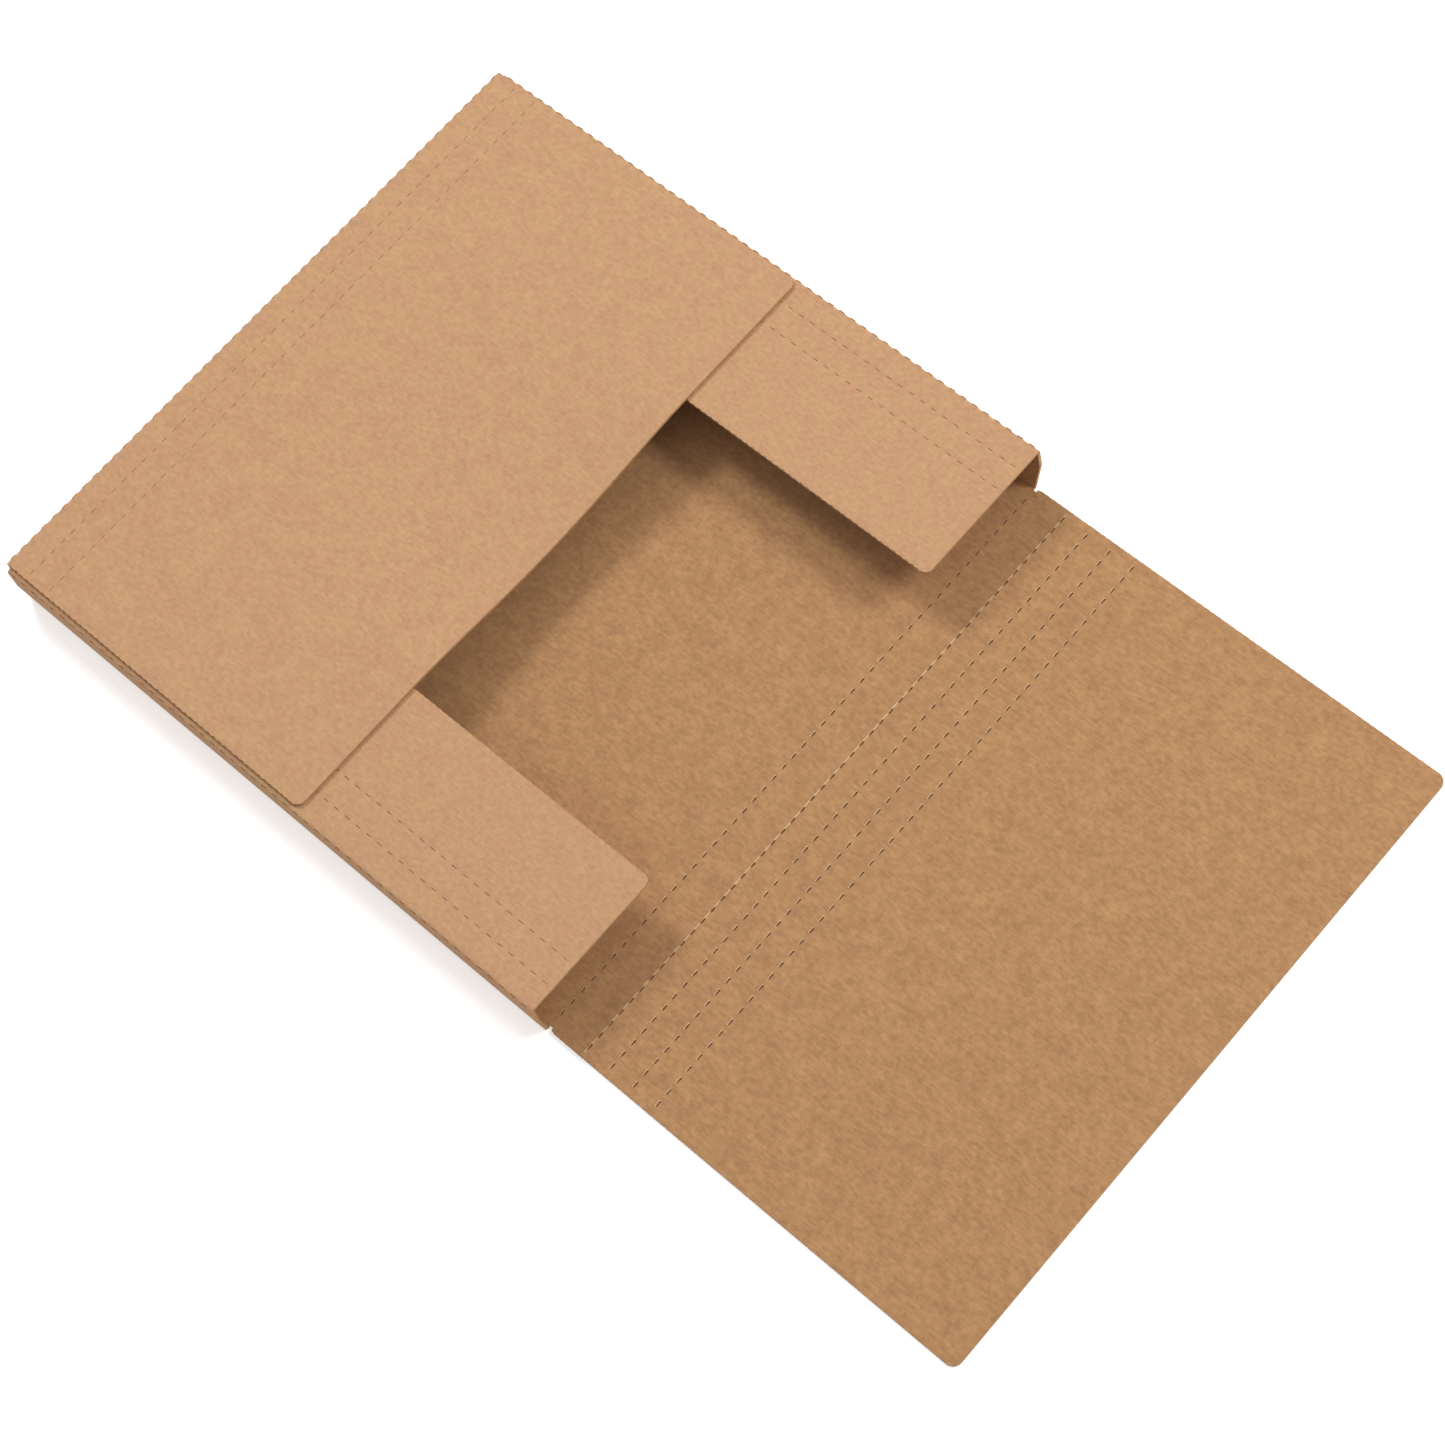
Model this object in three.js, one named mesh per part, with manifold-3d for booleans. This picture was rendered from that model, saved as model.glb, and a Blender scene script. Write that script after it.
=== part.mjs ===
// A one-piece corrugated wraparound mailer for a flat square product. It is folded at its second
// depth: base, two side walls with tuck flaps, and an end wall whose large flap closes over them.
// The outer panel lies open and flat, with the score lines that let it wrap at four depths.
// Units are millimetres. The origin is the middle of the base panel's underside, +X runs towards
// the open outer panel, +Z is up.
import * as THREE from 'three';
import { mergeGeometries, mergeVertices } from 'three/addons/utils/BufferGeometryUtils.js';
import Module from 'manifold-3d';

const wasm = await Module();
wasm.setup();

// Board
const board = 1.6;
const hingeGap = 0.3;
const foldSegments = 2;
const cornerSegments = 5;
const restGap = 0.3;

// Tray: its length runs from the left wall's outer face to the first score line
const trayLength = 322.2;
const trayWidth = 314.2;
const depth = 25.4;
const foldRadius = 1.3;
const endInset = 0.4;
const tuckRadius = 3.5;

// Side walls lean out a little, with a kink at the line of cuts halfway up, and their tuck flaps
const topWall = { side: 1, kink: 4.6, lean: 4.2, flap: 75.3 };
const bottomWall = { side: -1, kink: 1.6, lean: 1.4, flap: 73.2 };

// Left wall and the flap that closes over the tuck flaps
const leftFlap = 184.5;
const leftOverhang = 0.65;
const leftShift = 2;
const leftRadius = 4;
const leftSag = 5.5;
const sagStart = 34;
const sagRows = 6;
const sagColumns = 8;

// Outer panel, measured from the first score line
const outerLength = 218.9;
const outerOverhang = 0.8;
const outerRadius = 4.5;
const notch = 3.6;

// Score lines: short knife cuts with ties between them, which gape where the line is folded
const firstStep = 19.05;
const step = 12.7;
const cutPitch = 6.35;
const cutLength = 3.2;
const cutWidth = 0.7;
const cutDepth = 1.2;
const cutMargin = 1.6;
const foldAllowance = 0.8;
const foldCut = 1.5;

const xLeft = -trayLength / 2;
const xLine = trayLength / 2;
const halfWidth = trayWidth / 2;
const tuckUnder = board + depth;
const tuckTop = tuckUnder + board;
const leftTop = tuckTop + restGap + board;
const wallMiddle = board + depth / 2;
const leftHalf = halfWidth + leftOverhang;
const outerHalf = halfWidth + outerOverhang;
const mitreGap = hingeGap * Math.SQRT2;
const rowSpan = trayWidth - 2 * cutMargin;

// Score lines as distances from the fold that they belong to
const outerLines = [0, 1, 2, 3].map((n) => firstStep + n * step);
const closingLine = firstStep + step;
const flapLines = [step - foldAllowance, 2 * step - foldAllowance];

const kraft = (color) => new THREE.MeshStandardMaterial({ color, roughness: 0.9, metalness: 0 });

// A closed mesh as a solid for joining and cutting
function solid(geometry) {
  const plain = geometry.clone();
  plain.deleteAttribute('normal');
  plain.deleteAttribute('uv');
  const merged = mergeVertices(plain, 1e-4);
  return new wasm.Manifold(new wasm.Mesh({
    numProp: 3,
    vertProperties: new Float32Array(merged.attributes.position.array),
    triVerts: new Uint32Array(merged.index.array),
  }));
}

function part(name, body, color) {
  const { vertProperties, triVerts } = body.getMesh();
  const geometry = new THREE.BufferGeometry();
  geometry.setAttribute('position', new THREE.BufferAttribute(vertProperties, 3));
  geometry.setIndex(new THREE.BufferAttribute(triVerts, 1));
  geometry.computeVertexNormals();
  const mesh = new THREE.Mesh(geometry, kraft(color));
  mesh.name = name;
  return mesh;
}

// A closed outline, each corner [a, b, radius] rounded where its radius is not zero
function outline(corners) {
  const shape = new THREE.Shape();
  corners.forEach(([a, b, radius = 0], i) => {
    const here = new THREE.Vector2(a, b);
    const before = corners[(i + corners.length - 1) % corners.length];
    const after = corners[(i + 1) % corners.length];
    const into = new THREE.Vector2(before[0], before[1]).sub(here).setLength(radius).add(here);
    const out = new THREE.Vector2(after[0], after[1]).sub(here).setLength(radius).add(here);
    if (i === 0) shape.moveTo(into.x, into.y);
    else shape.lineTo(into.x, into.y);
    if (radius > 0) shape.quadraticCurveTo(here.x, here.y, out.x, out.y);
  });
  return shape;
}

// A plan outline as a slab from z0 to z1
function slab(corners, z0, z1) {
  const geometry = new THREE.ExtrudeGeometry(outline(corners), {
    depth: z1 - z0, bevelEnabled: false, curveSegments: cornerSegments,
  });
  return geometry.translate(0, 0, z0);
}

// A section in the YZ plane carried along X from x0 to x1
function alongX(corners, x0, x1) {
  const geometry = new THREE.ExtrudeGeometry(outline(corners), {
    depth: x1 - x0, bevelEnabled: false, curveSegments: foldSegments,
  });
  const turn = new THREE.Matrix4().makeBasis(
    new THREE.Vector3(0, 1, 0), new THREE.Vector3(0, 0, 1), new THREE.Vector3(1, 0, 0));
  return geometry.applyMatrix4(turn).translate(x0, 0, 0);
}

// A section in the XZ plane carried along Y from y0 to y1
function alongY(corners, y0, y1) {
  const geometry = new THREE.ExtrudeGeometry(outline(corners), {
    depth: y1 - y0, bevelEnabled: false, curveSegments: foldSegments,
  });
  const turn = new THREE.Matrix4().makeBasis(
    new THREE.Vector3(1, 0, 0), new THREE.Vector3(0, 0, 1), new THREE.Vector3(0, -1, 0));
  return geometry.applyMatrix4(turn).translate(0, y1, 0);
}

const axisX = new THREE.Vector3(1, 0, 0);
const axisY = new THREE.Vector3(0, 1, 0);
const up = new THREE.Vector3(0, 0, 1);
const down = new THREE.Vector3(0, 0, -1);

// Copies of a cutter in a row, one for each cut, as one solid. The cutter is drawn with the row
// along its Z and the way into the board along its Y, and `place` is the row's middle.
function cutterRow(cutter, along, inward, place, span) {
  const across = new THREE.Vector3().crossVectors(inward, along);
  const turn = new THREE.Matrix4().makeBasis(across, inward, along).setPosition(place);
  const count = Math.floor((span - cutLength) / cutPitch) + 1;
  const copies = Array.from({ length: count }, (_, i) => {
    const middle = (i - (count - 1) / 2) * cutPitch;
    return cutter.clone().translate(0, 0, middle).applyMatrix4(turn);
  });
  return solid(mergeGeometries(copies));
}

// A score line: knife cuts with a V section, `inward` pointing from the face into the board
function scoreLine(along, inward, place, span) {
  const above = cutDepth / 6;
  const half = (cutWidth / 2) * (1 + above / cutDepth);
  const section = new THREE.Shape([
    new THREE.Vector2(-half, -above), new THREE.Vector2(half, -above), new THREE.Vector2(0, cutDepth)]);
  const blade = new THREE.ExtrudeGeometry(section, { depth: cutLength, bevelEnabled: false });
  blade.translate(0, 0, -cutLength / 2);
  return cutterRow(blade, along, inward, place, span);
}

// A fold at the top of a wall: where each cut gapes, a flat facet is left across the outer corner
function foldedLine(along, inward, corner, span) {
  const block = new THREE.BoxGeometry(4 * foldCut, 2 * foldCut, cutLength);
  block.translate(0, foldCut / Math.SQRT2 - foldCut, 0);
  return cutterRow(block, along, inward.clone().normalize(), corner, span);
}

const at = (x, y, z) => new THREE.Vector3(x, y, z);

// Base panel, mitred at its left end, where the left wall folds up
function basePanel() {
  return solid(alongY([
    [xLeft + mitreGap, 0], [xLine - hingeGap / 2, 0], [xLine - hingeGap / 2, board],
    [xLeft + board + mitreGap, board]], -halfWidth, halfWidth));
}

// One side wall and its tuck flap, as a bent strip of board with its lines of cuts
function sideWall({ side, kink, lean, flap }) {
  const fold = halfWidth + lean + board;
  const free = fold - flap;
  const root = halfWidth - 2 * board;
  const section = [
    [root, 0], [halfWidth + board, 0, foldRadius], [halfWidth + kink + board, wallMiddle],
    [fold, tuckTop, foldRadius], [free, tuckTop], [free, tuckUnder], [fold - board, tuckUnder],
    [halfWidth + kink, wallMiddle], [halfWidth, board], [root, board],
  ].map(([y, z, radius]) => [side * y, z, radius]);
  const x0 = xLeft + board + hingeGap;
  const x1 = xLine - endInset;
  const middle = (x0 + x1) / 2;
  const span = x1 - x0 - 2 * cutMargin;
  const far = side * (fold + board);
  const plan = slab([
    [x0, far], [x1, far], [x1, side * free, tuckRadius], [x0, side * free, tuckRadius],
  ], -board, tuckTop + board);
  const lines = [
    scoreLine(axisX, at(0, side, 0), at(middle, side * (halfWidth + kink), wallMiddle), span),
    foldedLine(axisX, at(0, -side, -1), at(middle, side * fold, tuckTop), span),
    ...flapLines.map((line) => scoreLine(axisX, up, at(middle, side * (fold - line), tuckUnder), span)),
  ];
  const strip = solid(alongX(section, x0, x1)).intersect(solid(plan));
  return lines.reduce((body, line) => body.subtract(line), strip);
}

function baseTray() {
  return basePanel().add(sideWall(topWall)).add(sideWall(bottomWall))
    .subtract(scoreLine(axisY, down, at(xLine, 0, board), rowSpan - cutPitch));
}

// The end wall, mitred at both folds
function leftWall() {
  return solid(alongY([
    [xLeft, 0], [xLeft + board, board], [xLeft + board, leftTop - board - mitreGap],
    [xLeft, leftTop - mitreGap]], leftShift - leftHalf, leftShift + leftHalf))
    .subtract(scoreLine(axisY, at(-1, 0, 0), at(xLeft + board, leftShift, leftTop / 2), rowSpan))
    .subtract(foldedLine(axisY, at(1, 0, -1), at(xLeft, leftShift, leftTop), rowSpan));
}

// The large flap. Its free edge sags between the tuck flaps that hold it up on both sides.
function leftCover() {
  const top = halfWidth + topWall.lean + board - topWall.flap - leftShift;
  const bottom = -(halfWidth + bottomWall.lean + board - bottomWall.flap) - leftShift;
  const rows = [0];
  for (let i = 0; i <= sagRows; i += 1) rows.push(sagStart + ((leftFlap - sagStart) * i) / sagRows);
  const columns = [-leftHalf];
  for (let i = 0; i <= sagColumns; i += 1) columns.push(bottom + ((top - bottom) * i) / sagColumns);
  columns.push(leftHalf);
  const sheet = new THREE.BoxGeometry(1, 1, board, rows.length - 1, columns.length - 1, 1);
  const position = sheet.attributes.position;
  for (let i = 0; i < position.count; i += 1) {
    const row = rows[Math.round((position.getX(i) + 0.5) * (rows.length - 1))];
    const y = columns[Math.round((position.getY(i) + 0.5) * (columns.length - 1))];
    const along = Math.max(0, (row - sagStart) / (leftFlap - sagStart));
    const across = Math.max(0, 1 - ((2 * y - top - bottom) / (top - bottom)) ** 2);
    position.setXYZ(i, xLeft + row, y + leftShift,
      leftTop - board / 2 + position.getZ(i) - leftSag * along ** 1.5 * across ** 2);
  }
  const plan = slab([
    [xLeft, leftShift - leftHalf], [xLeft + leftFlap, leftShift - leftHalf, leftRadius],
    [xLeft + leftFlap, leftShift + leftHalf, leftRadius], [xLeft, leftShift + leftHalf],
  ], 0, leftTop + board);
  const mitre = solid(alongY([
    [xLeft - board, leftTop + board], [xLeft - board, leftTop - 2 * board],
    [xLeft + 2 * board, leftTop - 2 * board]], -trayWidth, trayWidth));
  const flap = solid(sheet).intersect(solid(plan)).subtract(mitre)
    .subtract(foldedLine(axisY, at(1, 0, -1), at(xLeft, leftShift, leftTop), rowSpan));
  return flapLines.reduce((body, line) => body.subtract(
    scoreLine(axisY, up, at(xLeft + line, leftShift, leftTop - board), rowSpan)), flap);
}

// A stretch of the outer panel with the score lines that cross or border it
function scored(panel, lines) {
  return lines.reduce((body, line) => body.subtract(
    scoreLine(axisY, down, at(xLine + line, 0, board), rowSpan)), panel);
}

// The stretch of the outer panel that becomes the closing wall
function outerWall() {
  const x0 = xLine + hingeGap / 2;
  const x1 = xLine + closingLine - hingeGap / 2;
  const panel = solid(slab([
    [x0, -halfWidth], [x0 + notch, -outerHalf], [x1, -outerHalf], [x1, outerHalf],
    [x0 + notch, outerHalf], [x0, halfWidth]], 0, board));
  return scored(panel, outerLines.slice(0, 2))
    .subtract(scoreLine(axisY, down, at(xLine, 0, board), rowSpan - cutPitch));
}

function outerFlap() {
  const x0 = xLine + closingLine + hingeGap / 2;
  const x1 = xLine + outerLength;
  const panel = solid(slab([
    [x0, -outerHalf], [x1, -outerHalf, outerRadius], [x1, outerHalf, outerRadius],
    [x0, outerHalf]], 0, board));
  return scored(panel, outerLines.slice(1));
}

const mailer = new THREE.Group();
mailer.add(part('base_tray', baseTray(), '#b78a61'));
mailer.add(part('left_wall', leftWall(), '#c79d78'));
mailer.add(part('left_flap', leftCover(), '#cda07a'));
mailer.add(part('outer_wall', outerWall(), '#b78a61'));
mailer.add(part('outer_flap', outerFlap(), '#b78a61'));

export default mailer;
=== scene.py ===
# %% [markdown]
# A corrugated wraparound mailer. On the real object one sheet of thin brown board is cut out flat,
# scored with rows of short knife cuts, and folded: two side walls with tuck flaps, and a left wall
# whose large flap closes over them. The outer panel still lies open. The imported model gives the
# places of all panels. This lesson lays fine board over them, which has liners, knife cuts, folds
# held by ties and fluted edges. Flat boxes could stand for the panels, but board is recognised by
# its folds and edges, so each panel is a sheet with two faces instead.

# %% The frame and the boxes of its parts
import math

import bpy
import numpy as np
from mathutils import Matrix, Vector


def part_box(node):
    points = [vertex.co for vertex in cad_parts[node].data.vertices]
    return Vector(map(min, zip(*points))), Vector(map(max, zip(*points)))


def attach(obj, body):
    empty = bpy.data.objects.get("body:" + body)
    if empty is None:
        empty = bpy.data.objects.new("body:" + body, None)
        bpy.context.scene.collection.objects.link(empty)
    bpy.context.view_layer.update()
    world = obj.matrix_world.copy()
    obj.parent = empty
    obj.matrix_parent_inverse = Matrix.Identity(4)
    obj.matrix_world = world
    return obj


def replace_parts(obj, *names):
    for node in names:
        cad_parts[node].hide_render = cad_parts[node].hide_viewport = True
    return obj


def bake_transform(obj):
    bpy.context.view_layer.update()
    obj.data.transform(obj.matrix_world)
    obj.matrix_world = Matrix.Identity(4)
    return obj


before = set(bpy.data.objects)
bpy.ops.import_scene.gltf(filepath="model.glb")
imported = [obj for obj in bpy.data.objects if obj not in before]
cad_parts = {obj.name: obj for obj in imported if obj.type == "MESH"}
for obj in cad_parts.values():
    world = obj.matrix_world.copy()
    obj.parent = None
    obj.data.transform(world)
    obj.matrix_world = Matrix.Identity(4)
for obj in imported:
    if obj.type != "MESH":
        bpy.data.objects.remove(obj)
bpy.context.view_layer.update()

print("frame nodes:", sorted(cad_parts))

# %% [markdown]
# Sizes are in millimetres, as on a die maker's drawing. The panels' places come from the frame, so
# the board follows the model. Only what the frame can't say, such as the leans of the side walls
# and the details of the cuts, is a value of its own.

# %% Sizes read from the frame, in millimetres
MM = 0.001


def box_mm(node):
    """Lowest and highest corner of a node, in millimetres."""
    low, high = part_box(node)
    return np.array(low) / MM, np.array(high) / MM


tray_low, tray_high = box_mm("base_tray")
left_low, left_high = box_mm("left_flap")
wall_low, wall_high = box_mm("outer_wall")
outer_low, outer_high = box_mm("outer_flap")

BOARD = 1.6
CORNER_CLEAR = 0.8
LINE_CLEAR = 0.4
OUTER_OVERHANG = 0.8
X_LEFT = left_low[0]
X_LINE = (tray_high[0] + wall_low[0]) / 2
X_CLOSE = (wall_high[0] + outer_low[0]) / 2
X_END = outer_high[0]
X_FLAP = left_high[0]
HALF_OUTER = outer_high[1]
HALF_BASE = HALF_OUTER - OUTER_OVERHANG
WALLS = (X_LEFT + BOARD + CORNER_CLEAR, X_LINE - LINE_CLEAR)
TUCK_MID = tray_high[2] - BOARD / 2
LEFT_MID = left_high[2] - BOARD / 2
print("board from x", round(X_LEFT, 1), "to", round(X_END, 1), "mm")

# %% [markdown]
# A score on this board is a row of short knife cuts with ties left between them. The cuts are
# 3.2 mm long at a pitch of 6.35 mm, a quarter of an inch, and the scores stand half an inch apart.
# The mailer can be folded at any of them. An image of dashes could show them, but light falls into
# a real gap and folds open it, so each cut is modelled.

# %% The scores
PITCH = 6.35
CUT = 3.2
STEP = 12.7
FIRST = 19.05
FOLD_ALLOWANCE = 0.8
FLAP_LINES = (STEP - FOLD_ALLOWANCE, 2 * STEP - FOLD_ALLOWANCE)
FLAP_LIP = 0.1
TAPER = 0.6
LIP_REACH = 2.2
FULL_CUT = CUT / 2 - TAPER
CUT_STOPS = np.array([-LIP_REACH, -CUT / 2, -FULL_CUT, FULL_CUT, CUT / 2, LIP_REACH])
THROAT = 0.27
MOUTH = 0.65
SHOULDER = 1.4
ROW_MARGIN = 0.3
LINE_MARGIN = 0.05


def from_cut(t, middle, count):
    """Distance along a row from the middle of the nearest cut, large beyond the row's ends."""
    place = np.clip(np.round((t - middle) / PITCH + (count - 1) / 2), 0, count - 1)
    return np.abs(t - middle - (place - (count - 1) / 2) * PITCH)


def row_lines(start, end, middle, count, extra=()):
    """The lines that a row of cuts needs along its length: six stops for each cut, and the ends."""
    centres = middle + (np.arange(count) - (count - 1) / 2) * PITCH
    stops = (centres[:, None] + CUT_STOPS[None, :]).ravel()
    stops = stops[(stops > start + ROW_MARGIN) & (stops < end - ROW_MARGIN)]
    return np.unique(np.concatenate([[start, end], stops, extra]).round(4))


def score(at, inner=0.35, outer=0.12, lip=0.3, ridge=0.0, swell=0.0):
    """One score: half widths of the cuts on both faces, the lip raised beside them, the ridge that
    runs on between them, and how far the board swells out of a fold."""
    return {"at": at, "inner": inner, "outer": outer, "lip": lip, "ridge": ridge, "swell": swell}


def score_lines(start, end, scores, extra=()):
    """The lines across a sheet: three on each side of each score, its ends and any extra ones."""
    offsets = (-SHOULDER, -MOUTH, -THROAT, THROAT, MOUTH, SHOULDER)
    near = [s["at"] + d for s in scores for d in offsets]
    near = [a for a in near if start + LINE_MARGIN < a < end - LINE_MARGIN]
    return np.unique(np.concatenate([[start, end], near, extra]).round(4))


print("cuts of", CUT, "mm every", PITCH, "mm, flap lines", np.round(FLAP_LINES, 1), "mm from a fold")

# %% [markdown]
# A sheet of board has two faces, the inner and the outer liner, and an edge all round. Its shape is
# a function of two parameters on a grid: `a` runs across the scores and `t` along them. Solidify
# could give the thickness, but the cuts are wide on the inner face and narrow on the outer one, so
# both faces are worked out here, and cells are left out of the grid where a knife went through. The
# left side of each cut is raised into a lip, and the lip's paler colour is a painted highlight.

# %% A sheet of board on a grid
INNER, OUTER, EDGE, LIP_HIGHLIGHT = 0, 1, 2, 3
END_OPENING = 0.2
RIGHT_LIP = -0.3
MOUTH_LIP = 0.4
MOUTH_RIDGE = 0.45
MOUTH_SWELL = 0.45
BACK_LIP = 0.12
BACK_MOUTH = 0.03
GRID_TOLERANCE = 0.01


def middles(grid):
    """The middle of each cell, from two opposite corners."""
    return (grid[:-1, :-1] + grid[1:, 1:]) / 2


def form_score(s, a, t, row, a_face, rise):
    """Moves the grid points beside one score. A cut is widest over its middle stretch and closes
    linearly to a fifth of that at its ends. Its lips rise over the same stretch and fade beyond it
    as a smooth step, three times the square less twice the cube."""
    near = from_cut(t, *row)
    open_cut = np.clip((CUT / 2 - near) / TAPER, 0, 1)
    bump = np.clip((LIP_REACH - near) / (LIP_REACH - FULL_CUT), 0, 1)
    bump = bump * bump * (3 - 2 * bump)
    off = a - s["at"]
    side = np.sign(off)
    beside = np.isclose(np.abs(off), THROAT, atol=GRID_TOLERANCE)
    around = np.isclose(np.abs(off), MOUTH, atol=GRID_TOLERANCE)
    for face, half in ((1, s["inner"]), (-1, s["outer"])):
        wide = half * (END_OPENING + (1 - END_OPENING) * open_cut)
        a_face[face] = np.where(beside, s["at"] + side * wide, a_face[face])
    lip = s["lip"] * bump * np.where(side < 0, 1.0, RIGHT_LIP)
    rise[1] += np.where(beside, lip + s["ridge"], 0)
    rise[1] += np.where(around, MOUTH_LIP * lip + MOUTH_RIDGE * s["ridge"], 0)
    rise[-1] += np.where(beside, (BACK_LIP - s["swell"]) * bump, 0)
    rise[-1] += np.where(around, (BACK_MOUTH - MOUTH_SWELL * s["swell"]) * bump, 0)


def sheet(a_lines, t_lines, place, scores=(), row=(0.0, 0), thick=BOARD, middle=None, keep=None,
          faces=(INNER, OUTER, EDGE)):
    """A closed sheet: place(a, t, h) puts each grid point of both faces, at h of plus and minus half
    the thickness from the middle surface. A cut is a missing cell whose end points draw together."""
    a, t = np.meshgrid(a_lines, t_lines, indexing="ij")
    a_mid, t_mid = middles(a), middles(t)
    cells = np.ones(a_mid.shape, bool) if keep is None else keep(a_mid, t_mid)
    in_cut = from_cut(t_mid, *row) < CUT / 2
    lips = np.zeros_like(cells)
    a_face = {1: a.copy(), -1: a.copy()}
    rise = {1: np.zeros_like(a), -1: np.zeros_like(a)}
    for s in scores:
        form_score(s, a, t, row, a_face, rise)
        cells &= ~((np.abs(a_mid - s["at"]) < THROAT) & in_cut)
        # Cells on the left side of a cut or ridge take the paler lip colour, a painted highlight.
        highlight_side = (a_mid > s["at"] - MOUTH) & (a_mid < s["at"] - THROAT)
        lips |= highlight_side & (in_cut | (s["ridge"] > 0)) & (s["lip"] > 0)
    rest = middle(a, t) if middle is not None else 0.0
    points = [place(a_face[f], t, f * thick / 2 + rise[f] + rest).reshape(-1, 3) for f in (1, -1)]
    return closed_sheet(np.concatenate(points), cells, faces, lips)


def closed_sheet(points, cells, faces, lips):
    """The faces of a two-sided grid with walls wherever a kept cell meets a missing one. Each side
    of a cell has the step to its neighbour and the two corners that its wall runs between."""
    rows, columns = cells.shape
    index = np.arange((rows + 1) * (columns + 1)).reshape(rows + 1, columns + 1)
    under = index + index.size
    p, q = np.nonzero(cells)
    top = np.stack([index[p, q], index[p + 1, q], index[p + 1, q + 1], index[p, q + 1]], 1)
    low = np.stack([under[p, q], under[p, q + 1], under[p + 1, q + 1], under[p + 1, q]], 1)
    ring = np.pad(cells, 1)
    walls = []
    for dp, dq, first, second in ((1, 0, (1, 0), (1, 1)), (-1, 0, (0, 1), (0, 0)),
                                  (0, 1, (1, 1), (0, 1)), (0, -1, (0, 0), (1, 0))):
        gone = ~ring[p + 1 + dp, q + 1 + dq]
        i, j = p[gone], q[gone]
        one = (i + first[0], j + first[1])
        two = (i + second[0], j + second[1])
        walls.append(np.stack([index[one], under[one], under[two], index[two]], 1))
    walls = np.concatenate(walls)
    quads = np.concatenate([top, low, walls])
    marks = np.repeat(faces, [len(top), len(low), len(walls)])
    marks[:len(top)][lips[p, q]] = LIP_HIGHLIGHT
    used, quads = np.unique(quads, return_inverse=True)
    return points[used], quads.reshape(-1, 4), marks


def joined(parts, turned=False):
    """Several sheets as the arrays of one mesh. Turned sheets have their faces wound the other way."""
    starts = np.cumsum([0] + [len(p[0]) for p in parts])
    points = np.concatenate([p[0] for p in parts])
    quads = np.concatenate([p[1] + start for p, start in zip(parts, starts)])
    marks = np.concatenate([p[2] for p in parts])
    return points, quads[:, ::-1] if turned else quads, marks


one_cell = sheet(np.arange(2.0), np.arange(2.0), lambda a, t, h: np.stack([a, t, h], -1))
print("a sheet of one cell is closed by", len(one_cell[1]), "faces")

# %% [markdown]
# The section of a folded board is a line of straight runs joined by small arcs. Carried along it,
# the sheet bends as board does: tight at the folds and straight between them. A curve object could
# carry the section, but the cuts need to know where along it each fold lies.

# %% The bent section
ARC_STEPS = 10
FOLD_RADIUS = 0.9


def bent_path(corners, radius):
    """Arc length, place and heading along straight runs that are joined by arcs of one radius. Each
    arc takes off both its runs the radius times the tangent of half the turn."""
    corners = np.array(corners, float)
    runs = np.diff(corners, axis=0)
    headings = np.unwrap(np.arctan2(runs[:, 1], runs[:, 0]))
    turns = np.diff(headings)
    trims = radius * np.tan(np.abs(turns) / 2)
    units = runs / np.linalg.norm(runs, axis=1)[:, None]
    places, angles = [corners[0]], [headings[0]]
    for n, turn in enumerate(turns):
        share = np.linspace(0, 1, ARC_STEPS + 1)
        heading = headings[n] + share * turn
        begin = corners[n + 1] - units[n] * trims[n]
        normal = np.array([-units[n][1], units[n][0]]) * np.sign(turn)
        centre = begin + normal * radius
        spoke = np.stack([np.sin(heading), -np.cos(heading)], 1) * np.sign(turn)
        places.extend(centre + spoke * radius)
        angles.extend(heading)
    places.append(corners[-1])
    angles.append(headings[-1])
    places = np.array(places)
    length = np.concatenate([[0], np.cumsum(np.linalg.norm(np.diff(places, axis=0), axis=1))])
    fold_at = [length[1 + n * (ARC_STEPS + 1) + ARC_STEPS // 2] for n in range(len(turns))]
    return {"s": length, "place": places, "angle": np.array(angles), "folds": fold_at}


def on_path(path, s, h):
    """The two coordinates of a point at arc length s, h to the left of the path."""
    angle = np.interp(s, path["s"], path["angle"])
    a = np.interp(s, path["s"], path["place"][:, 0])
    b = np.interp(s, path["s"], path["place"][:, 1])
    return a - h * np.sin(angle), b + h * np.cos(angle)


TOP = {"kink": 4.6, "lean": 4.2, "flap": 75.3}
BOTTOM = {"kink": 1.6, "lean": 1.4, "flap": 73.2}
half_mid = HALF_BASE + BOARD / 2
# Halfway between the floor's upper face and the tuck flaps' lower one.
wall_mid = BOARD + (TUCK_MID - 1.5 * BOARD) / 2


def wall_corners(wall, side):
    """The section of one side wall and its tuck flap, from the base outwards."""
    fold = half_mid + wall["lean"]
    free = HALF_BASE + wall["lean"] + BOARD - wall["flap"]
    corners = [(half_mid, BOARD / 2), (half_mid + wall["kink"], wall_mid), (fold, TUCK_MID)]
    return [(side * y, z) for y, z in corners + [(free, TUCK_MID)]]


tray_path = bent_path(wall_corners(BOTTOM, -1)[::-1] + wall_corners(TOP, 1), FOLD_RADIUS)
long_path = bent_path([(X_FLAP, LEFT_MID), (X_LEFT + BOARD / 2, LEFT_MID),
                       (X_LEFT + BOARD / 2, BOARD / 2), (X_END, BOARD / 2)], FOLD_RADIUS)
folds = tray_path["folds"]
s_end = tray_path["s"][-1]
fold_top, fold_base = long_path["folds"]
print("folds of the tray section at", np.round(folds, 1), "mm")

# %% [markdown]
# The die rounds the free corners of each panel, so that they slide in without catching. A bevel
# modifier would round them too, but it would also cut into the fluted edges. Here the ends of the
# grid lines near a corner are drawn in along an arc instead, and the fluting follows them.

# %% Rounded corners and the two sections in space
TUCK_CORNER = 3.5
DRAWN = 8.0


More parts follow.
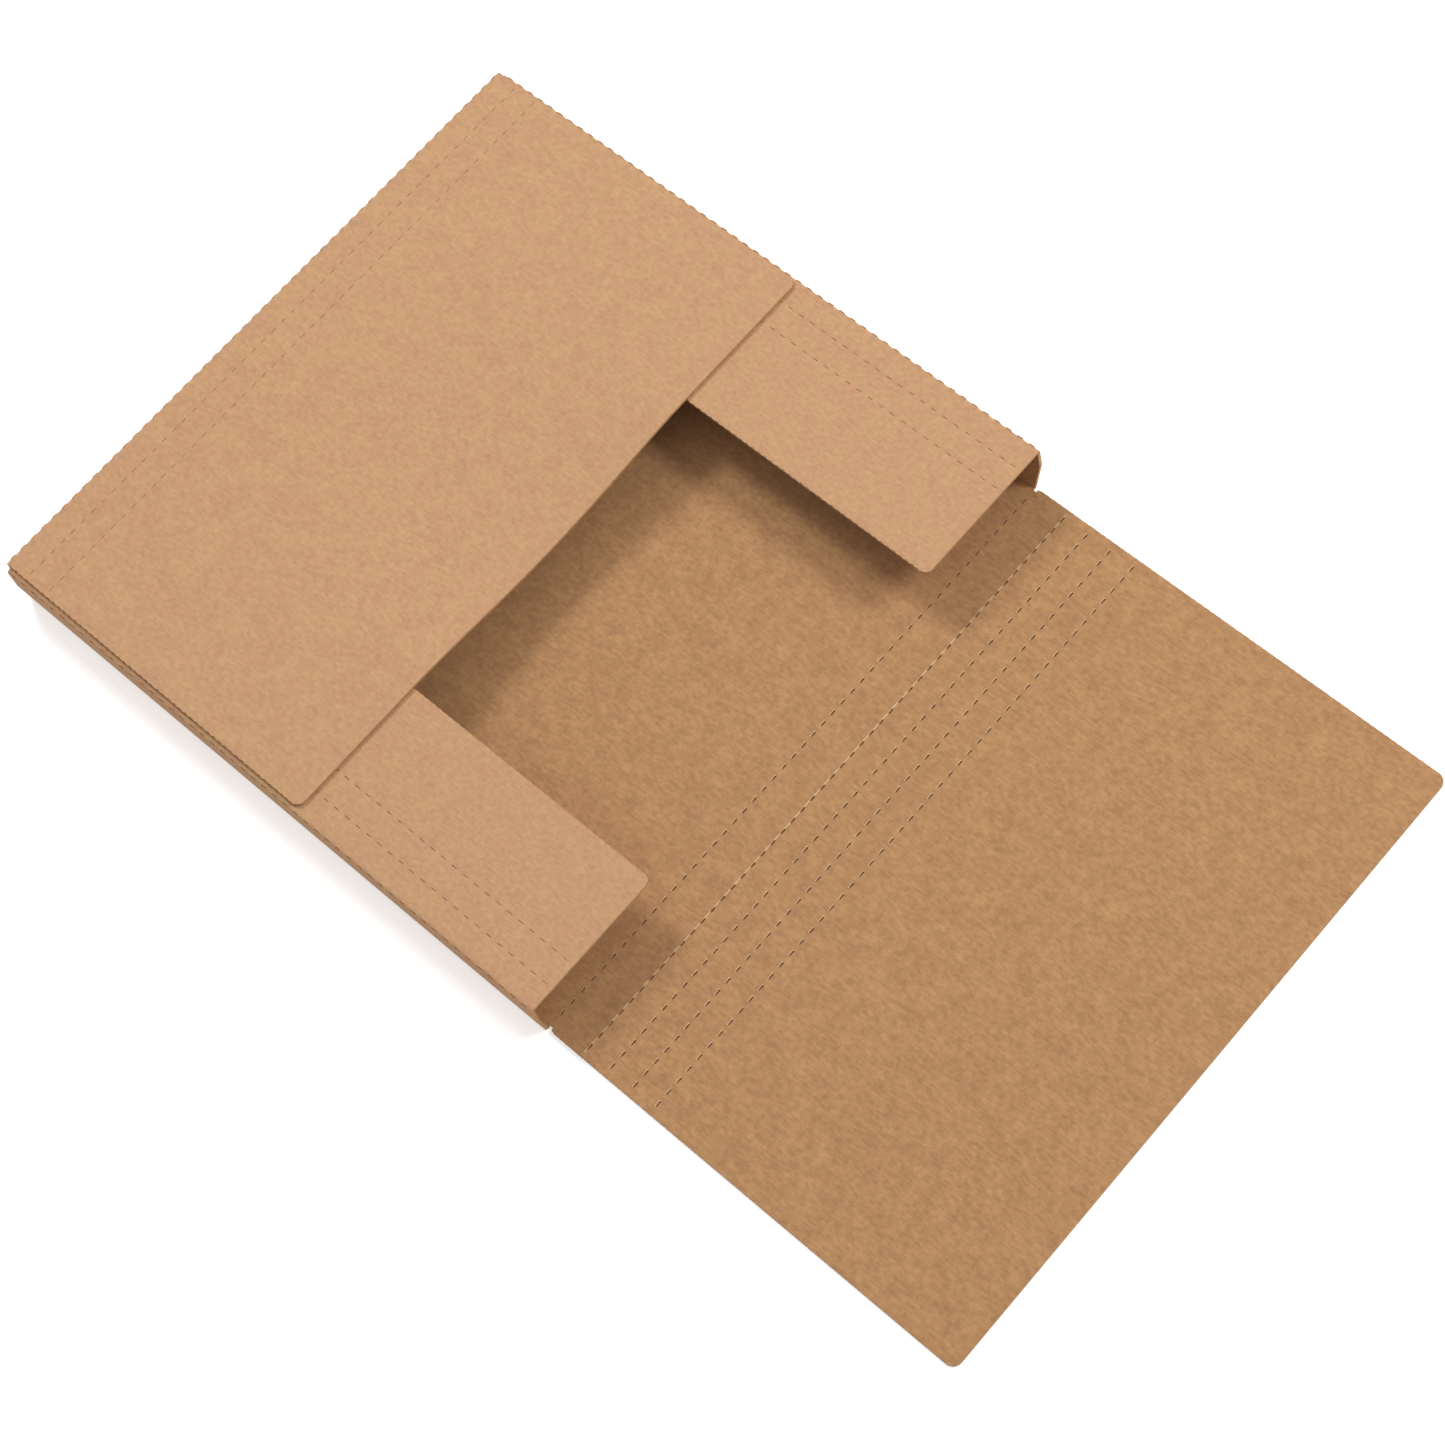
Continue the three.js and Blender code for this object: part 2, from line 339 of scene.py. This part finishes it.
def drawn_in(q, radius):
    """How far a rounded corner draws one edge in, at the distance q from the other edge: the radius
    less the root of its square minus the square of the distance left to the arc's centre."""
    return radius - np.sqrt(radius ** 2 - (radius - np.clip(q, 0, radius)) ** 2)


def place_tray(s, x, h):
    """The tray's section lies in the YZ plane and is carried along X. The corners of the tuck flaps
    draw in along quarter circles."""
    inset = drawn_in(np.minimum(s, s_end - s), TUCK_CORNER)
    right = np.clip(1 - (WALLS[1] - x) / DRAWN, 0, 1)
    left = np.clip(1 - (x - WALLS[0]) / DRAWN, 0, 1)
    x = x + inset * (left - right)
    y, z = on_path(tray_path, s, h)
    return np.stack([x + 0 * s, y, z], -1) * MM


def place_long(u, y, h):
    """The long strip's section lies in the XZ plane and is carried along Y."""
    x, z = on_path(long_path, u, h)
    return np.stack([x, y + 0 * u, z], -1) * MM


print("a tuck flap's end is drawn in by", [round(float(drawn_in(q, TUCK_CORNER)), 2) for q in (0, 1, 2)],
      "mm at 0, 1 and 2 mm from its free edge")

# %% [markdown]
# E-flute board has a wavy paper between its liners, with a wave every 3.5 mm. The waves run along Y
# here, so they show on the edges that run along X, where the liners are also cut into fine
# scallops. The rim is made of the same sheets as the board, only thinner: two liners and the wave.
# Waves painted on a flat edge would be quicker, but they wouldn't be dark between the liners.

# %% A fluted rim
FLUTE = 3.5
STEPS_PER_FLUTE = 6
LINER = 0.28
MEDIUM = 0.2
MEDIUM_SEAT = 0.9
RIM = 2.0
RAGGED, CLEAN = 0.22, 0.1
SCALLOP_MEAN = 0.6
CRUSH = 0.1


def fluted_rim(place, g_low, g_high, scallop=RAGGED):
    """Liners and fluting along an edge. place(d, g, h) takes the distance out from the board. The
    wave is a sine. The scallop grows with the cube of the distance out, and the crush, which brings
    the liners together between the waves, with its square."""
    steps = int(round((g_high - g_low) / FLUTE * STEPS_PER_FLUTE))
    g_lines = np.linspace(g_low, g_high, steps + 1)
    out = np.array([0.0, RIM / 2, RIM])
    face = BOARD / 2 - LINER / 2
    height = face - LINER * MEDIUM_SEAT

    def wave(g):
        return np.sin(2 * math.pi * g / FLUTE)

    def crush(d, g):
        return np.clip(d / RIM, 0, 1) ** 2 * CRUSH * (1 + wave(g))

    def scalloped(d, g, h):
        return place(d + np.clip(d / RIM, 0, 1) ** 3 * scallop * (wave(g) - SCALLOP_MEAN), g, h)

    inner = sheet(out, g_lines, scalloped, thick=LINER, middle=lambda d, g: face - crush(d, g),
                  faces=(INNER, EDGE, EDGE))
    outer = sheet(out, g_lines, scalloped, thick=LINER, middle=lambda d, g: crush(d, g) - face,
                  faces=(EDGE, OUTER, EDGE))
    medium = sheet(out[[0, 2]], g_lines, place, thick=MEDIUM, middle=lambda d, g: height * wave(g),
                   faces=(EDGE, EDGE, EDGE))
    return [inner, outer, medium]


print("a rim is", RIM, "mm wide, with a wave every", FLUTE, "mm")

# %% [markdown]
# Colours are written as on a screen, in sRGB, and Blender's sockets want linear light. A material is
# a tree of nodes. Each could be set up in three or four lines, and a small helper does it in one.

# %% Colours and a small helper for nodes
def linear(hex_colour):
    """An sRGB hex colour as linear light, four numbers for a socket."""
    value = hex_colour.lstrip("#")
    srgb = [int(value[i:i + 2], 16) / 255 for i in (0, 2, 4)]
    return [c / 12.92 if c <= 0.04045 else ((c + 0.055) / 1.055) ** 2.4 for c in srgb] + [1.0]


def add(tree, kind, links=None, **settings):
    """Adds a node. Settings are its properties, or its sockets' values when a socket has the name."""
    node = tree.nodes.new(kind)
    for name, value in settings.items():
        if hasattr(node, name):
            setattr(node, name, value)
        else:
            node.inputs[name.replace("_", " ")].default_value = value
    for socket, source in (links or {}).items():
        tree.links.new(source, node.inputs[socket])
    return node


print("half of full sRGB is", round(linear("#808080")[0], 2), "of full light")

# %% [markdown]
# Kraft liner is unbleached paper. It is rolled from pulp, so its fibres lie in soft clouds a few
# millimetres across, drawn out along the machine. Single fibres are too fine to show from here, so
# streaks about 1 mm wide stand for bundles of them. The inner liner is greyer and browner than the
# outer one, which has a pink cast. Both are matt. A cut shows the paler core of the paper. The lip on
# the left of each cut and ridge is paler still, a painted highlight that draws a fine bright line
# beside each dark cut. The pattern could be painted on an image, but noise on Object coordinates has
# its size in millimetres.

# %% The papers
CLOUD = 9.0
CLUMP = 2.4
STREAK = 1.1
STREAK_STRETCH = 0.3
CLOUD_RANGE = (0.35, 0.65)
SHADE_RANGE = (0.7, 1.3)
FIBRE_HEIGHT = 0.05
FIBRE_RELIEF = 0.25
PAPER_ROUGHNESS = 0.85
PAPER_SPECULAR = 0.25


def kraft(name, base, cloud_a, cloud_b, depth):
    """Unbleached kraft paper: clouds of hue, clumps of fibre that shade it, and short streaks along
    the machine's direction. depth is how far clumps and streaks go from the tone, up and down."""
    material = bpy.data.materials.new(name)
    material.use_nodes = True
    tree = material.node_tree
    tree.nodes.clear()
    where = add(tree, "ShaderNodeTexCoord").outputs["Object"]
    clouds = add(tree, "ShaderNodeTexNoise", {"Vector": where}, Scale=1 / (CLOUD * MM), Detail=2.0)
    clumps = add(tree, "ShaderNodeTexNoise", {"Vector": where}, Scale=1 / (CLUMP * MM), Detail=3.0)
    along = add(tree, "ShaderNodeMapping", {"Vector": where})
    along.inputs["Scale"].default_value = (STREAK_STRETCH, 1.0, 1.0)
    streaks = add(tree, "ShaderNodeTexNoise", {"Vector": along.outputs["Vector"]},
                  Scale=1 / (STREAK * MM), Detail=2.0)
    hue = add(tree, "ShaderNodeMapRange", {"Value": clouds.outputs["Fac"]},
              From_Min=CLOUD_RANGE[0], From_Max=CLOUD_RANGE[1])
    tint = add(tree, "ShaderNodeMix", {"Factor": hue.outputs["Result"]}, data_type="RGBA")
    tint.inputs[6].default_value = linear(cloud_a)
    tint.inputs[7].default_value = linear(cloud_b)
    both = add(tree, "ShaderNodeMath", {0: clumps.outputs["Fac"], 1: streaks.outputs["Fac"]},
               operation="ADD")
    shade = add(tree, "ShaderNodeMapRange", {"Value": both.outputs["Value"]},
                From_Min=SHADE_RANGE[0], From_Max=SHADE_RANGE[1])
    shade.inputs["To Min"].default_value = 1 - depth
    shade.inputs["To Max"].default_value = 1 + depth
    colour = add(tree, "ShaderNodeVectorMath", {0: tint.outputs[2]}, operation="SCALE")
    tree.links.new(shade.outputs["Result"], colour.inputs["Scale"])
    bump = add(tree, "ShaderNodeBump", {"Height": both.outputs["Value"]}, Strength=FIBRE_RELIEF)
    bump.inputs["Distance"].default_value = FIBRE_HEIGHT * MM
    shader = add(tree, "ShaderNodeBsdfPrincipled", {"Base Color": colour.outputs["Vector"],
                                                   "Normal": bump.outputs["Normal"]})
    shader.inputs["Roughness"].default_value = PAPER_ROUGHNESS
    shader.inputs["Specular IOR Level"].default_value = PAPER_SPECULAR
    add(tree, "ShaderNodeOutputMaterial", {"Surface": shader.outputs["BSDF"]})
    material.diffuse_color = linear(base)
    return material


inner_liner = kraft("kraft_inner_liner", "#b78a60", "#bd8f63", "#b6885e", 0.15)
outer_liner = kraft("kraft_outer_liner", "#ca9d77", "#cba076", "#c99a75", 0.1)
cut_edge = kraft("kraft_cut_edge", "#c49a70", "#c39a6c", "#c79b74", 0.15)
# The lip's pale colour is a painted highlight on the left side of each cut and ridge.
lip_highlight = kraft("kraft_lip_highlight", "#dfbd96", "#dfbc94", "#e0be98", 0.1)
print("materials:", inner_liner.name, outer_liner.name, cut_edge.name, lip_highlight.name)

# %% [markdown]
# A piece of board comes out of the functions above as arrays of points and faces. foreach_set hands
# them to the mesh in one go. from_pydata would do the same through lists, but slowly for this many
# faces. Each face takes the material of its liner, its edge or the painted highlight of its lip, and
# smooth shading stops at sharp edges, so that folds look round and cuts look crisp.

# %% A piece from its arrays
SHARP_ANGLE = 40.0


def make_piece(name, arrays, body):
    """A mesh object at the origin with its liners and edge, riding on a body."""
    points, quads, marks = arrays
    mesh = bpy.data.meshes.new(name)
    mesh.vertices.add(len(points))
    mesh.vertices.foreach_set("co", points.astype(np.float32).ravel())
    mesh.loops.add(quads.size)
    mesh.loops.foreach_set("vertex_index", quads.astype(np.int32).ravel())
    mesh.polygons.add(len(quads))
    mesh.polygons.foreach_set("loop_start", np.arange(0, quads.size, 4, dtype=np.int32))
    mesh.update(calc_edges=True)
    mesh.validate()
    for material in (inner_liner, outer_liner, cut_edge, lip_highlight):
        mesh.materials.append(material)
    mesh.polygons.foreach_set("material_index", marks.astype(np.int32))
    mesh.polygons.foreach_set("use_smooth", np.ones(len(marks), bool))
    mesh.set_sharp_from_angle(angle=math.radians(SHARP_ANGLE))
    piece = bpy.data.objects.new(name, mesh)
    bpy.context.scene.collection.objects.link(piece)
    if body:
        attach(piece, body)
    print(name, 2 * len(quads), "triangles")
    return piece


# %% [markdown]
# The tray: base, side walls and tuck flaps are one bent strip. Its cuts run along X: at both folds,
# halfway up each wall, and twice on each tuck flap, where it would fold at a smaller depth. Five
# flat panels could be leaned against each other, but each fold would then be a seam.

# %% The tray
TRAY_ROW = (0.75, 50)
HINGE = 1.5
BEND = 2.2
BASE_EDGE = 1.6
TUCK_ARC_LINE = 2.7
BASE_LINES = np.linspace(120, 400, 9)
gaping_fold = {"inner": 0.12, "outer": 0.32, "lip": 0.0, "swell": 0.5}
tight_fold = {"inner": 0.12, "outer": 0.14, "lip": 0.0, "swell": 0.3}
base_start = place_long(fold_base + HINGE, 0.0, 0.0)[0] / MM
base_end = X_LINE - HINGE
tray_scores = [score(folds[0], **tight_fold), score(folds[1]), score(folds[2], **tight_fold),
               score(folds[3], **tight_fold), score(folds[4]), score(folds[5], **gaping_fold)]
tray_scores += [score(folds[0] - line, lip=FLAP_LIP) for line in FLAP_LINES]
tray_scores += [score(folds[5] + line, lip=FLAP_LIP) for line in FLAP_LINES]
turn_lines = [f + d for f in folds for d in (-BEND, BEND)]
turn_lines += [q for near in (TUCK_ARC_LINE, TUCK_CORNER) for q in (near, s_end - near)]
s_lines = score_lines(RIM, s_end - RIM, tray_scores, turn_lines + list(BASE_LINES))
x_lines = row_lines(*WALLS, *TRAY_ROW, extra=[base_start, base_end])


def tray_cells(s, x):
    """The base stops where the hinge strips at both ends start. The walls run on."""
    on_base = (s > folds[2] + BASE_EDGE) & (s < folds[3] - BASE_EDGE)
    return ~(on_base & ((x > base_end) | (x < base_start)))


tray_body = sheet(s_lines, x_lines, place_tray, tray_scores, TRAY_ROW, keep=tray_cells)
tray_rims = fluted_rim(lambda d, g, h: place_tray(RIM - d, g, h), *WALLS)
far_rims = fluted_rim(lambda d, g, h: place_tray(s_end - RIM + d, g, h), *WALLS)
tray_arrays = joined([joined([tray_body] + far_rims, True), joined(tray_rims)])
tray = make_piece("tray_board", tray_arrays, "tray")
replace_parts(tray, "base_tray")

# %% [markdown]
# The left wall and its flap are the long strip's first stretch. The flap lies on the tuck flaps at
# both sides and sags where nothing holds it up. A cloth simulation could drop it, but a formula
# gives the same sag at each run.

# %% The left wall and its flap
SAG = 5.5
SAG_START = 34.0
LEFT_Y = (-157.6, 161.2)
LEFT_CORNER = 4.0
LEFT_ARC_LINE = 2.9
LEFT_ROW = (2.0, 50)
SAG_LINES = 26
SAG_CLEAR = 32
tuck_top_free = HALF_BASE + TOP["lean"] + BOARD - TOP["flap"]
tuck_bottom_free = -(HALF_BASE + BOTTOM["lean"] + BOARD - BOTTOM["flap"])


def place_left(u, y, h):
    """The flap's middle drops towards its free edge: depth grows with the 1.5th power along it, and
    falls off to nothing at the tuck flaps' free edges. Its corners draw in along quarter circles."""
    inset = drawn_in(np.minimum(y - LEFT_Y[0], LEFT_Y[1] - y), LEFT_CORNER)
    u = u + inset * np.clip(1 - u / DRAWN, 0, 1)
    points = place_long(u, y, h)
    along = np.clip((X_FLAP - u - X_LEFT - SAG_START) / (X_FLAP - X_LEFT - SAG_START), 0, 1)
    middle = (2 * y - tuck_top_free - tuck_bottom_free) / (tuck_top_free - tuck_bottom_free)
    points[..., 2] -= SAG * MM * along ** 1.5 * np.clip(1 - middle ** 2, 0, 1) ** 2
    return points


y_lines = row_lines(*LEFT_Y, *LEFT_ROW)
corner_lines = [q for near in (LEFT_ARC_LINE, LEFT_CORNER)
                for q in (LEFT_Y[0] + near, LEFT_Y[1] - near)]
y_inside = row_lines(LEFT_Y[0] + RIM, LEFT_Y[1] - RIM, *LEFT_ROW, extra=corner_lines)
flap_scores = [score(fold_top - line, lip=FLAP_LIP) for line in FLAP_LINES]
flap_end = fold_top - HINGE
sag_lines = np.linspace(0, flap_end - SAG_CLEAR, SAG_LINES)
u_lines = score_lines(0.0, flap_end, flap_scores, sag_lines)
flap_body = sheet(u_lines, y_inside, place_left, flap_scores, LEFT_ROW)
flap_near = fluted_rim(lambda d, g, h: place_left(g, LEFT_Y[0] + RIM - d, h), 0.0, flap_end)
flap_far = fluted_rim(lambda d, g, h: place_left(g, LEFT_Y[1] - RIM + d, h), 0.0, flap_end)
flap_arrays = joined([joined([flap_body] + flap_near), joined(flap_far, True)])
left_flap = make_piece("left_flap_board", flap_arrays, "end_flap")
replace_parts(left_flap, "left_flap")

wall_score = score((fold_top + fold_base) / 2)
u_lines = score_lines(fold_top + HINGE, fold_base - HINGE, [wall_score])
wall_body = sheet(u_lines, y_lines, place_long, [wall_score], LEFT_ROW)
left_wall = make_piece("left_wall_board", wall_body, "end_wall")
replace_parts(left_wall, "left_wall")

# %% [markdown]
# The outer panel is two pieces, because it folds at its third score: the stretch that becomes the
# closing wall, and the large panel beyond. The second score has been folded before and opened
# again, so a fine ridge runs between its cuts. One piece could be bent at the fold too, but two
# pieces and a hinge strip keep both panels flat.

# %% The outer wall and the outer panel
OUTER_ROW = (0.0, 49)
OUTER_CORNER = 4.5
OUTER_ARC_LINE = 3.0
NOTCH = 3.6
RIDGE = 0.3
PANEL_PLAIN = 70
PANEL_LINES = 14
u_far = long_path["s"][-1]
u_line = u_far - (X_END - X_LINE)
u_close = u_line + X_CLOSE - X_LINE
corner_lines = [side * (HALF_OUTER - near) for side in (-1, 1)
                for near in (OUTER_ARC_LINE, OUTER_CORNER)]
y_panel = row_lines(-HALF_OUTER + RIM, HALF_OUTER - RIM, *OUTER_ROW, extra=corner_lines)


def place_outer(u, y, h):
    """The far corners draw in along quarter circles. Beside its fold the panel is as narrow as the
    base, and it widens to its full width over the length of a notch."""
    inset = drawn_in(HALF_OUTER - np.abs(y), OUTER_CORNER)
    narrow = np.clip(1 - (u - u_line) / NOTCH, 0, 1) * (1 - HALF_BASE / HALF_OUTER)
    return place_long(u - inset * np.clip(1 - (u_far - u) / DRAWN, 0, 1), y * (1 - narrow), h)


def outer_piece(name, u_low, u_high, scores, extra, body, node):
    """One piece of the outer panel: the scored sheet and a fluted rim at each side."""
    lines = score_lines(u_low, u_high, scores, extra)
    board = sheet(lines, y_panel, place_outer, scores, OUTER_ROW)
    near = fluted_rim(lambda d, g, h: place_outer(g, -HALF_OUTER + RIM - d, h), u_low, u_high, CLEAN)
    far = fluted_rim(lambda d, g, h: place_outer(g, HALF_OUTER - RIM + d, h), u_low, u_high, CLEAN)
    arrays = joined([joined([board] + near), joined(far, True)])
    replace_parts(make_piece(name, arrays, body), node)


outer_piece("outer_wall_board", u_line + HINGE, u_close - HINGE,
            [score(u_line + FIRST, ridge=RIDGE)], [u_line + NOTCH], "closing_wall", "outer_wall")
outer_piece("outer_panel_board", u_close + HINGE, u_far,
            [score(u_line + FIRST + n * STEP) for n in (2, 3)],
            np.linspace(u_line + PANEL_PLAIN, u_far, PANEL_LINES), "closing_flap", "outer_flap")

# %% [markdown]
# Between two panels that fold on each other, the ties of a score bend and the cuts open. Each such
# hinge is a narrow strip of board with its own row of cuts, built in place and carried by no body.
# An armature could bend whole panels, but then they would bow.

# %% The four hinge strips
STRIP_LINES = np.array([-1.0, 0.0, 1.0])
STRIP_INSET = 1.0
LINE_ROW = (0.0, 48)


def hinge_strip(name, u_fold, y_low, y_high, row, bodies, slot, **form):
    """A strip of board across one fold, built in place and carried by no body."""
    line = score(u_fold, **form)
    lines = score_lines(u_fold - HINGE, u_fold + HINGE, [line], u_fold + STRIP_LINES)
    arrays = sheet(lines, row_lines(y_low, y_high, *row), place_long, [line], row)
    piece = make_piece(name, arrays, None)
    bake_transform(piece)


hinge_strip("left_top_hinge", fold_top, *LEFT_Y, LEFT_ROW, ("end_flap", "end_wall"), "outer_liner",
            **gaping_fold)
half_strip = HALF_BASE - STRIP_INSET
hinge_strip("left_base_hinge", fold_base, -half_strip, half_strip, LEFT_ROW, ("end_wall", "tray"),
            "outer_liner", **tight_fold)
hinge_strip("outer_wall_hinge", u_line, -half_strip, half_strip, LINE_ROW, ("tray", "closing_wall"),
            "inner_liner")
hinge_strip("outer_panel_hinge", u_close, -HALF_OUTER, HALF_OUTER, OUTER_ROW,
            ("closing_wall", "closing_flap"), "inner_liner")

# %% [markdown]
# The photograph looks down on the mailer from the right and a little from the front. The camera
# could be placed by eye. It was fitted to the rows of cuts and the panels' edges instead, which are
# straight and evenly spaced on the real thing, so that both pictures agree at the far corners too.

# %% The camera
IMAGE = 1445.0
FOCAL_PIXELS = 3163.3
CENTRE_PIXEL = (798.9, 690.5)
SENSOR = 36.0
CAMERA_PLACE = (0.6030, -0.2901, 1.2315)
CAMERA_TARGET = (0.14234, 0.02138, 0.0)
CAMERA_RIGHT = (0.74783, 0.65398, -0.11429)


def make_camera():
    """The view axis runs from the camera's place to the target, and the image's right is given."""
    back = np.array(CAMERA_PLACE) - np.array(CAMERA_TARGET)
    back /= np.linalg.norm(back)
    right = np.array(CAMERA_RIGHT) - np.dot(CAMERA_RIGHT, back) * back
    right /= np.linalg.norm(right)
    up = np.cross(back, right)
    data = bpy.data.cameras.new("camera")
    data.sensor_width = SENSOR
    data.lens = FOCAL_PIXELS * SENSOR / IMAGE
    data.shift_x = (IMAGE / 2 - CENTRE_PIXEL[0]) / IMAGE
    data.shift_y = (CENTRE_PIXEL[1] - IMAGE / 2) / IMAGE
    camera = bpy.data.objects.new("camera", data)
    columns = np.stack([right, up, back, np.array(CAMERA_PLACE)], 1)
    camera.matrix_world = Matrix(np.vstack([columns, [0, 0, 0, 1]]).tolist())
    bpy.context.scene.collection.objects.link(camera)
    bpy.context.scene.camera = camera
    return camera


camera = make_camera()
print("camera lens", round(camera.data.lens, 2), "mm")

# %% [markdown]
# The mailer stands on a sweep of matt white paper. For the camera the paper also glows a little, so
# that it reads as white and still keeps the object's soft shadow. Brighter lamps would whiten it
# too, but they would burn out the board.

# %% The floor
FLOOR_SIDE = 6.0
FLOOR_GLOW = 0.5
FLOOR_DROP = 0.2


def make_floor():
    """A square of white paper under the object."""
    mesh = bpy.data.meshes.new("floor")
    half = FLOOR_SIDE / 2
    mesh.from_pydata([(-half, -half, 0), (half, -half, 0), (half, half, 0), (-half, half, 0)], [],
                     [(0, 1, 2, 3)])
    material = bpy.data.materials.new("white_sweep")
    material.use_nodes = True
    tree = material.node_tree
    tree.nodes.clear()
    paper = add(tree, "ShaderNodeBsdfDiffuse", Color=linear("#f4f4f4"))
    seen = add(tree, "ShaderNodeLightPath").outputs["Is Camera Ray"]
    glow = add(tree, "ShaderNodeMath", {0: seen}, operation="MULTIPLY")
    glow.inputs[1].default_value = FLOOR_GLOW
    light = add(tree, "ShaderNodeEmission", {"Strength": glow.outputs["Value"]})
    both = add(tree, "ShaderNodeAddShader", {0: paper.outputs["BSDF"], 1: light.outputs["Emission"]})
    add(tree, "ShaderNodeOutputMaterial", {"Surface": both.outputs["Shader"]})
    mesh.materials.append(material)
    floor = bpy.data.objects.new("floor", mesh)
    floor.location.z = -FLOOR_DROP * MM
    bpy.context.scene.collection.objects.link(floor)


make_floor()
print("floor", FLOOR_SIDE, "m wide")

# %% [markdown]
# Two round soft lamps of about equal strength stand behind the mailer, one at each side, where the
# photograph's two sets of shadows say that they are. Suns would light both ends alike, and in the
# photograph the near end is a little darker, so these are lamps that stand near.

# %% The lamps
LAMP_AWAY = 2.2
LAMP_WIDTH = 0.6
LAMP_AIM = (0.11, 0.0, 0.01)
LAMPS = {"lamp_right": ((17.5, 22.3, 27.0), 1.18), "lamp_left": ((-21.5, 6.0, 27.0), 1.07)}


def make_lamp(name, towards, light):
    """A round softbox aimed at the mailer from a direction. Its power is pi times the square of its
    distance times the light wanted at the mailer."""
    data = bpy.data.lights.new(name, "AREA")
    data.shape = "DISK"
    data.size = LAMP_WIDTH
    data.energy = math.pi * LAMP_AWAY ** 2 * light
    lamp = bpy.data.objects.new(name, data)
    back = np.array(towards) / np.linalg.norm(towards)
    side = np.cross([0, 0, 1], back)
    side /= np.linalg.norm(side)
    columns = np.stack([side, np.cross(back, side), back, LAMP_AIM + back * LAMP_AWAY], 1)
    lamp.matrix_world = Matrix(np.vstack([columns, [0, 0, 0, 1]]).tolist())
    bpy.context.scene.collection.objects.link(lamp)


for lamp_name, (direction, light_wanted) in LAMPS.items():
    make_lamp(lamp_name, direction, light_wanted)
print("lamps:", list(LAMPS))

# %% [markdown]
# The pale room gives the rest of the light, evenly from all sides, which keeps the shadows open. The
# camera sees it as plain white. An image of a studio could light the scene too, but board is matt
# and shows no reflections that would need one.

# %% The room
ROOM_STRENGTH = 0.48


def make_room():
    """The room's even light, with white behind the object for the camera."""
    world = bpy.data.worlds.new("studio")
    bpy.context.scene.world = world
    world.use_nodes = True
    tree = world.node_tree
    tree.nodes.clear()
    path = add(tree, "ShaderNodeLightPath")
    strength = add(tree, "ShaderNodeMapRange", {"Value": path.outputs["Is Camera Ray"]})
    strength.inputs["To Min"].default_value = ROOM_STRENGTH
    strength.inputs["To Max"].default_value = 1.0
    light = add(tree, "ShaderNodeBackground", {"Strength": strength.outputs["Result"]})
    light.inputs["Color"].default_value = linear("#ffffff")
    add(tree, "ShaderNodeOutputWorld", {"Surface": light.outputs["Background"]})


make_room()
bpy.context.scene.view_settings.view_transform = "Standard"
print("room light", ROOM_STRENGTH)
